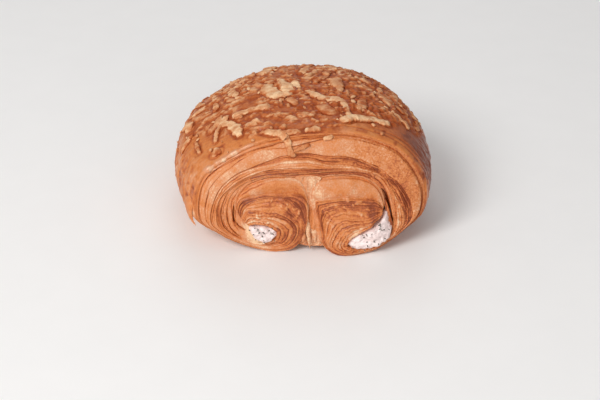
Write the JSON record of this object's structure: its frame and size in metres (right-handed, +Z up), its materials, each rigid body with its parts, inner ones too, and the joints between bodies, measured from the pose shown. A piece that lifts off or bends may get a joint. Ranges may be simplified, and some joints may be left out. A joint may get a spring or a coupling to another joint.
{
  "type": "croissant",
  "caption": "Filled croissant baked as a double roll: a domed sheet of layered dough curled into two rolls with shreds of cheese on its crust",
  "frame": {"origin": "middle of the underside's plane, below the middle of the croissant's box", "axes": "+X across both rolls, to the right as the front end is looked at; +Y along the rolls, from the front end to the back end; +Z up, from the flat underside to the crust"},
  "size_m": [0.0971, 0.094, 0.0475],
  "materials": {
    "pastry": "baked layered dough, golden brown with paler layers at its ends, a slight egg gloss, and pale cheese on the crust",
    "filling": "soft white curd with dark herb specks, crumbly and matt"
  },
  "bodies": {
    "root": {"pastry": "pastry", "filling_left": "filling", "filling_right": "filling"}
  },
  "joints": []
}
